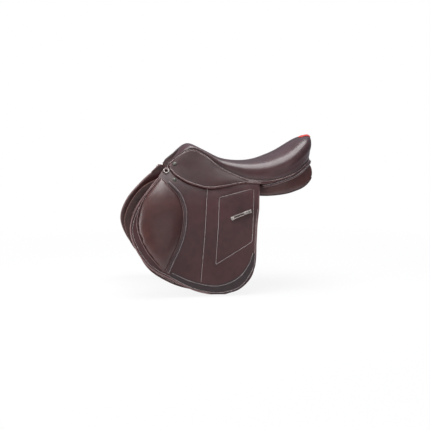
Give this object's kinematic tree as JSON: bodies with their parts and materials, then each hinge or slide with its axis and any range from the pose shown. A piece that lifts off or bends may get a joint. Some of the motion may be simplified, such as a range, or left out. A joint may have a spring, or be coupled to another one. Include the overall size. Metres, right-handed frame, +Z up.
{
  "type": "jumping saddle",
  "caption": "Forward-cut close-contact jumping saddle in dark brown leather with double flaps, knee pads and hanging girth straps.",
  "frame": {"origin": "on the plane of symmetry below the seat's deepest point, level with the underside of the panels, where the saddle stands on a horse's back or a rack", "axes": "+X towards the cantle (rear), -X towards the pommel (front), -Y the near (left) side, +Z up"},
  "size_m": [0.5868, 0.4096, 0.4632],
  "materials": {
    "leather": "glossy",
    "grain_leather": "grained matt",
    "red_leather": "satin",
    "foam": "matt",
    "webbing": "matt",
    "tree_plastic": "matt",
    "steel": "satin"
  },
  "bodies": {
    "saddle": {"seat_cover": "leather", "seat_foam": "foam", "seat_webbing": "webbing", "tree": "tree_plastic", "head_plate": "steel", "pommel_facing": "leather", "cantle_inlay": "red_leather", "cantle_piping": "leather", "skirt_top_near": "leather", "flap_head_near": "leather", "sweat_flap_near": "leather", "knee_roll_near": "leather", "billet_web_near": "webbing", "panel_near": "leather", "skirt_nail_near": "steel", "flap_nail_near": "steel", "dee_chape_near": "leather", "stirrup_bar_near": "steel", "bar_rivet_front_near": "steel", "bar_rivet_rear_near": "steel", "skirt_top_off": "leather", "flap_head_off": "leather", "sweat_flap_off": "leather", "knee_roll_off": "leather", "billet_web_off": "webbing", "panel_off": "leather", "skirt_nail_off": "steel", "flap_nail_off": "steel", "dee_chape_off": "leather", "stirrup_bar_off": "steel", "bar_rivet_front_off": "steel", "bar_rivet_rear_off": "steel"},
    "flap_near": {"flap_near": "leather", "knee_pad_near": "leather", "knee_band_near": "leather", "flap_patch_near": "grain_leather", "leather_keeper_near": "steel", "keeper_boss_near": "steel"},
    "skirt_near": {"skirt_near": "leather"},
    "dee_near": {"dee_near": "steel"},
    "bar_catch_near": {"bar_catch_near": "steel"},
    "billet_front_near": {"billet_front_near": "leather"},
    "billet_middle_near": {"billet_middle_near": "leather"},
    "billet_rear_near": {"billet_rear_near": "leather"},
    "buckle_guard_near": {"buckle_guard_near": "leather"},
    "flap_off": {"flap_off": "leather", "knee_pad_off": "leather", "knee_band_off": "leather", "flap_patch_off": "grain_leather", "leather_keeper_off": "steel", "keeper_boss_off": "steel"},
    "skirt_off": {"skirt_off": "leather"},
    "dee_off": {"dee_off": "steel"},
    "bar_catch_off": {"bar_catch_off": "steel"},
    "billet_front_off": {"billet_front_off": "leather"},
    "billet_middle_off": {"billet_middle_off": "leather"},
    "billet_rear_off": {"billet_rear_off": "leather"},
    "buckle_guard_off": {"buckle_guard_off": "leather"}
  },
  "joints": [
    {"name": "flap_lift_near", "type": "hinge", "parent": "saddle", "child": "flap_near", "pos_m": [-0.11596, -0.12638, 0.01372], "axis": [-0.9394, 0.1389, 0.3133], "range_deg": [0, 75]},
    {"name": "skirt_lift_near", "type": "hinge", "parent": "saddle", "child": "skirt_near", "pos_m": [-0.11172, -0.09887, 0.0701], "axis": [-0.9684, 0.1307, 0.2124], "range_deg": [0, 60]},
    {"name": "dee_swing_near", "type": "hinge", "parent": "saddle", "child": "dee_near", "pos_m": [-0.2397, -0.08981, 0.08379], "axis": [-0.9966, -0.0641, 0.051], "range_deg": [0, 90]},
    {"name": "catch_turn_near", "type": "hinge", "parent": "saddle", "child": "bar_catch_near", "pos_m": [-0.09525, -0.06465, 0.08223], "axis": [0.0061, 0.4626, 0.8865], "range_deg": [0, 90]},
    {"name": "guard_slide_near", "type": "hinge", "parent": "saddle", "child": "buckle_guard_near", "pos_m": [-0.055, 0.43988, -0.26518], "axis": [-1, 0, 0], "range_deg": [0, 2.3]},
    {"name": "billet_front_swing_near", "type": "hinge", "parent": "saddle", "child": "billet_front_near", "pos_m": [-0.101, -0.11411, 0.00612], "axis": [0, 1, 0], "range_deg": [-3.4, 3.4]},
    {"name": "billet_middle_swing_near", "type": "hinge", "parent": "saddle", "child": "billet_middle_near", "pos_m": [-0.055, -0.11411, 0.00612], "axis": [0, 1, 0], "range_deg": [-3.4, 3.4]},
    {"name": "billet_rear_swing_near", "type": "hinge", "parent": "saddle", "child": "billet_rear_near", "pos_m": [-0.009, -0.11411, 0.00612], "axis": [0, 1, 0], "range_deg": [-3.4, 3.4]},
    {"name": "flap_lift_off", "type": "hinge", "parent": "saddle", "child": "flap_off", "pos_m": [-0.11596, 0.12638, 0.01372], "axis": [0.9394, 0.1389, -0.3133], "range_deg": [0, 75]},
    {"name": "skirt_lift_off", "type": "hinge", "parent": "saddle", "child": "skirt_off", "pos_m": [-0.11172, 0.09887, 0.0701], "axis": [0.9684, 0.1307, -0.2124], "range_deg": [0, 60]},
    {"name": "dee_swing_off", "type": "hinge", "parent": "saddle", "child": "dee_off", "pos_m": [-0.2397, 0.08981, 0.08379], "axis": [0.9966, -0.0641, -0.051], "range_deg": [0, 90]},
    {"name": "catch_turn_off", "type": "hinge", "parent": "saddle", "child": "bar_catch_off", "pos_m": [-0.09525, 0.06465, 0.08223], "axis": [-0.0061, 0.4626, -0.8865], "range_deg": [0, 90]},
    {"name": "guard_slide_off", "type": "hinge", "parent": "saddle", "child": "buckle_guard_off", "pos_m": [-0.055, -0.43988, -0.26518], "axis": [1, 0, 0], "range_deg": [0, 2.3]},
    {"name": "billet_front_swing_off", "type": "hinge", "parent": "saddle", "child": "billet_front_off", "pos_m": [-0.101, 0.11411, 0.00612], "axis": [0, 1, 0], "range_deg": [-3.4, 3.4]},
    {"name": "billet_middle_swing_off", "type": "hinge", "parent": "saddle", "child": "billet_middle_off", "pos_m": [-0.055, 0.11411, 0.00612], "axis": [0, 1, 0], "range_deg": [-3.4, 3.4]},
    {"name": "billet_rear_swing_off", "type": "hinge", "parent": "saddle", "child": "billet_rear_off", "pos_m": [-0.009, 0.11411, 0.00612], "axis": [0, 1, 0], "range_deg": [-3.4, 3.4]}
  ]
}
